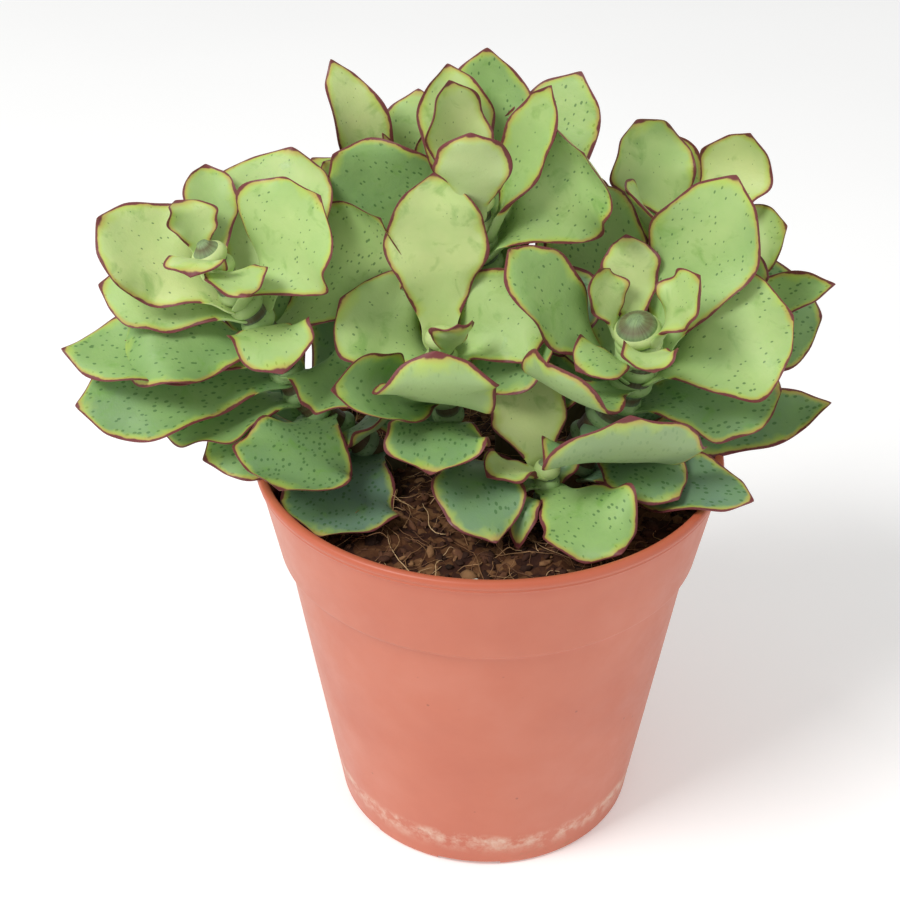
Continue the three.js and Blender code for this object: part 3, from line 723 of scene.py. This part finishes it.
def stems(paths, joints):
    """A stem: circles along its middle line, swollen at each leaf pair, flared where it meets the
    soil and closed to a bud at its tip."""
    bark = stem_material()
    sides = STEM_AROUND
    soil_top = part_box("soil")[1][2] / MM
    for name, (path, radius) in paths.items():
        height = path[:, 2]
        grown = (height - soil_top) / (height[-1] - soil_top)
        swell = np.ones(len(path))
        scar = np.zeros(len(path))
        for foot in joints.get(name, []):
            away = np.linalg.norm(path - foot, axis=1)
            swell += 0.10 * np.exp(-(away / 1.6) ** 2)
            scar = np.maximum(scar, 0.7 * np.exp(-((away - 3.0) / 0.7) ** 2))
        swell += 0.35 * np.exp(-np.maximum(height - soil_top + 2, 0) / 4)
        ends = 1 - smooth(grown, 0.965, 1.0) * 0.6
        points = swept(path, radius * swell * ends, sides)
        along = np.concatenate([[0], np.cumsum(np.linalg.norm(np.diff(path, axis=0), axis=1))])
        angle = np.arange(sides) * 2 * np.pi / sides
        place = np.stack([np.broadcast_to(radius * np.cos(angle), (len(path), sides)),
                          np.broadcast_to(radius * np.sin(angle), (len(path), sides)),
                          np.repeat(along[:, None], sides, axis=1)], axis=-1).reshape(-1, 3)
        place = np.concatenate([place, place[:1], place[-1:]])
        age = np.clip(1 - grown, 0, 1)
        age = np.concatenate([np.repeat(age, sides), [1, 0]])
        scar = np.concatenate([np.repeat(scar, sides), [0, 0]])
        mesh = new_mesh(f"{name}_stem_bark", points * MM, tube_faces(len(path), sides),
                        {"stem_mm": place, "age": age, "scar": scar})
        add_piece(mesh, bark, "stem", f"{name}_stem")


# ---------------------------------------------------------------- leaves
def solid_outline(t):
    """Half width along a leaf's solid: a sine rise from the narrow base to the widest place, then
    an elliptic fall to the tip."""
    rise = NECK + (1 - NECK) * np.sin(np.pi / 2 * np.clip(t / WIDEST, 0, 1)) ** 1.5
    u = np.clip((t - WIDEST) / (1 - WIDEST), 0, 1)
    return np.where(t < WIDEST, rise, (1 - u * u) ** TIP_POWER)


def grown_outline(t):
    """The solid's outline, drawn in to a short point at the very end."""
    return solid_outline(t) * (1 - 0.35 * smooth(t, 0.88, 1.0))


def leaf_shell(tip, rings, age, draw):
    """One grown leaf over its solid. The middle line is a spline through the solid's sections, with
    its base where the parabola through the lowest ones starts. Each section of the face is the
    quartic through the solid's five face points, scaled by the outline, with its margins waved up
    and down. Round a section, the place across is a power of the cosine of the turn, and the face
    and the back stand off by its sine, the back by most of the thickness."""
    order = max(range(RING_POINTS), key=lambda k: sum(
        np.linalg.norm(r[k] - r[(k + 4) % RING_POINTS]) for r in rings))
    knots = RINGS[-len(rings):]
    sections = np.array([np.roll(r, -order, axis=0)[:5] for r in rings])[::-1] / MM
    tip = tip / MM
    middles = np.concatenate([sections[:, 2], [tip]])
    t_known = np.concatenate([knots, [1.0]])
    fit = np.linalg.lstsq(np.vander(t_known[:4], 3), middles[:4], rcond=None)[0]
    base = fit[2]
    length = np.linalg.norm(tip - base)
    # Rows stand closest at the two ends, and the first lie inside the stem.
    inward = -0.10 - 2.0 / length
    t = inward + (1 - inward) * (1 - np.cos(np.linspace(0.10, 1, LEAF_ROWS) * np.pi)) / 2
    t = t[:-1]
    spread = (sections - sections[:, 2:3]) / solid_outline(knots)[:, None, None]
    spread = spline(knots, spread, np.clip(t, 0.05, 1.0))
    half_width = np.linalg.norm(spread[:, 0] - spread[:, 4], axis=-1) / 2
    powers = np.linalg.inv(np.vander(ACROSS, 5))
    loop = np.linspace(0, 2 * np.pi, LEAF_AROUND, endpoint=False)
    s = np.sign(np.cos(loop)) * np.abs(np.cos(loop)) ** 0.8
    depth = np.sin(loop)
    weights = np.vander(s, 5) @ powers
    o = grown_outline(t) * smooth(t, inward - 0.12, inward + 0.10)
    middle = spline(np.concatenate([[0], t_known]), np.concatenate([[base], middles]), t)
    # Scallops in the margin and waves up and down across the face, both stronger to the margins.
    waves = draw.uniform(1.5, 2.6, 2)
    phase = draw.uniform(0, 2 * np.pi, 4)
    swing = draw.uniform(0.5, 1.2, 2) * 0.13 * half_width.mean()
    sway = smooth(t, 0.05, 0.35)[:, None] * (1 - 0.35 * smooth(t, 0.85, 1.0))[:, None]
    side = np.where(s > 0, 0, 1)
    wave = np.sin(2 * np.pi * waves[side] * t[:, None] + phase[side])
    scallop = 1 + 0.05 * sway * np.sin(2 * np.pi * (waves[side] + 0.6) * t[:, None] + phase[side + 2])
    face = middle[:, None] + np.einsum("ls,tsd->tld", weights, spread) * (o[:, None] * scallop)[..., None]
    tangent = unit(np.gradient(middle, axis=0))
    left = unit(spread[:, 0] - spread[:, 4])
    normal = unit(np.cross(tangent, left))
    curl = draw.normal(0, 0.28) * smooth(t, 0.62, 1.05) ** 2 * half_width.mean()
    lift = wave * sway * (np.abs(s) ** 2.5) * swing[side] * np.minimum(o, 1)[:, None] + curl[:, None]
    thick = 2.4 * (0.55 + 0.45 * np.clip(o, 0, 1)) * np.minimum(1, 1.25 - 0.7 * t)
    thick = thick * min(1, length / 26 + 0.25)
    thick = thick * smooth(1.0 - t, -0.02, 0.10) * 0.9 + 0.25
    body = np.where(depth > 0, 0.12, 0.88) * depth * thick[:, None]
    points = face + normal[:, None] * (lift + body)[..., None]
    # Values for the material: places on the leaf, and how far the margin is, in mm.
    half = (half_width * np.clip(o, 0, None))[:, None]
    across = half * s[None]
    to_edge = half * (1 - np.abs(s))[None]
    to_tip = (1 - t)[:, None] * length
    edge = np.minimum(to_edge, to_tip * 0.7)
    edge = np.where(t[:, None] < 0.12, edge + (0.12 - t[:, None]) * 40, edge)
    along = np.repeat(t[:, None] * length, LEAF_AROUND, axis=1)
    number = draw.uniform(0, 300)
    place = np.stack([across, along, np.full_like(along, number)], axis=-1).reshape(-1, 3)
    first = middle[0]
    last = tip + normal[-1] * curl[-1]
    points = np.concatenate([points.reshape(-1, 3), [first, last]])
    place = np.concatenate([place, place[:1], place[-1:]])
    facing = np.repeat(smooth(depth, -0.25, 0.05)[None], len(t), axis=0).ravel()
    facing = np.concatenate([facing, [1, 1]])
    edge = np.concatenate([edge.ravel(), [5, 0]])
    whole = np.ones(len(points))
    values = {"leaf_mm": place, "edge_mm": edge, "face": facing, "age": whole * age,
              "tone": whole * draw.normal(0, 0.10)}
    return (points * MM, tube_faces(len(t), LEAF_AROUND), values), base


def collar_shell(foot, along, radius, age, draw):
    """The joined leaf bases: a fleshy ring round the stem, an egg-shaped section carried round it."""
    sides, rows = 32, 10
    side, up = basis(along[None])
    angle = np.arange(sides) * 2 * np.pi / sides
    out = side * np.cos(angle)[:, None] + up * np.sin(angle)[:, None]
    v = np.linspace(-np.pi / 2, np.pi / 2, rows + 2)[1:-1]
    reach = radius * 0.6 + (radius * 0.4 + 1.1) * np.cos(v) ** 0.8
    grid = foot + out[None] * reach[:, None, None] + along * (2.0 * np.sin(v))[:, None, None]
    points = np.concatenate([grid.reshape(-1, 3), [foot - along * 2.0, foot + along * 2.0]])
    count = len(points)
    values = {"leaf_mm": points + draw.uniform(0, 300), "edge_mm": np.full(count, 6.0),
              "face": np.full(count, 0.5), "age": np.full(count, age), "tone": np.full(count, 0.0)}
    return points * MM, tube_faces(rows, sides), values


def leaves(paths):
    """Every leaf pair over its solid, and where each pair sits on its stem."""
    waxy = leaf_material()
    joints = {}
    for name in sorted(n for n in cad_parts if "_leaf_pair_" in n):
        stem, _, number = name.partition("_leaf_pair_")
        path, radius = paths[stem]
        count = sum(n.startswith(f"{stem}_leaf_pair_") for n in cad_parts)
        draw = np.random.default_rng([ord(c) for c in name])
        age = (int(number) - 1) / (count - 1)
        shells = []
        foot = None
        for tip, rings in leaf_rings(name):
            shell, base = leaf_shell(tip, rings, age, draw)
            shells.append(shell)
            if foot is None:
                nearest = np.argmin(np.linalg.norm(path - base, axis=1))
                foot = path[nearest]
                along = unit(path[min(nearest + 1, STEM_ROWS - 1)] - path[max(nearest - 1, 0)])
        if foot is not None:
            joints.setdefault(stem, []).append(foot)
            shells.append(collar_shell(foot, along, radius, age, draw))
            mesh = new_mesh(name.replace("_leaf_pair_", "_leaves_"), *join_shells(shells))
            add_piece(mesh, waxy, "leaf", name)
    return joints


# ---------------------------------------------------------------- studio
def studio():
    """A pale floor, an even pale surround, a broad key light and a fill, and the camera."""
    scene = bpy.context.scene
    scene.view_settings.view_transform = "Standard"
    world = bpy.data.worlds.new("pale_surround")
    world.use_nodes = True
    world.node_tree.nodes["Background"].inputs["Color"].default_value = linear("#fbfbfb")
    world.node_tree.nodes["Background"].inputs["Strength"].default_value = 0.55
    scene.world = world
    edge = 3.0
    below = -0.2 * MM
    corners = [[-edge, -edge, below], [edge, -edge, below], [edge, edge, below], [-edge, edge, below]]
    floor_mesh = new_mesh("floor", corners, [np.array([[0, 1, 2, 3]])])
    floor = bpy.data.objects.new("floor", floor_mesh)
    floor_mesh.materials.append(floor_material())
    scene.collection.objects.link(floor)
    for name, place, size, power in (
            ("key", (-0.7, -0.5, 1.15), 0.5, 12.0), ("fill", (0.9, -0.6, 0.5), 0.9, 1.0)):
        light = bpy.data.lights.new(name, "AREA")
        light.size = size
        light.energy = power
        lamp = bpy.data.objects.new(name, light)
        lamp.location = place
        lamp.rotation_euler = (Vector((0, 0, 0.12)) - Vector(place)).to_track_quat("-Z", "Y").to_euler()
        scene.collection.objects.link(lamp)
    camera = bpy.data.cameras.new("camera")
    camera.lens = 64
    camera.sensor_width = 36
    eye = bpy.data.objects.new("camera", camera)
    target = Vector((-0.010, 0, 0.1066))
    lift = math.radians(31.6)
    away = 0.412
    eye.location = target + Vector((0, -math.cos(lift), math.sin(lift))) * away
    eye.rotation_euler = (math.pi / 2 - lift, 0, 0)
    scene.collection.objects.link(eye)
    scene.camera = eye


pot()
soil()
chips()
fibres()
stone()
paths = stem_paths()
joints = leaves(paths)
stems(paths, joints)
studio()
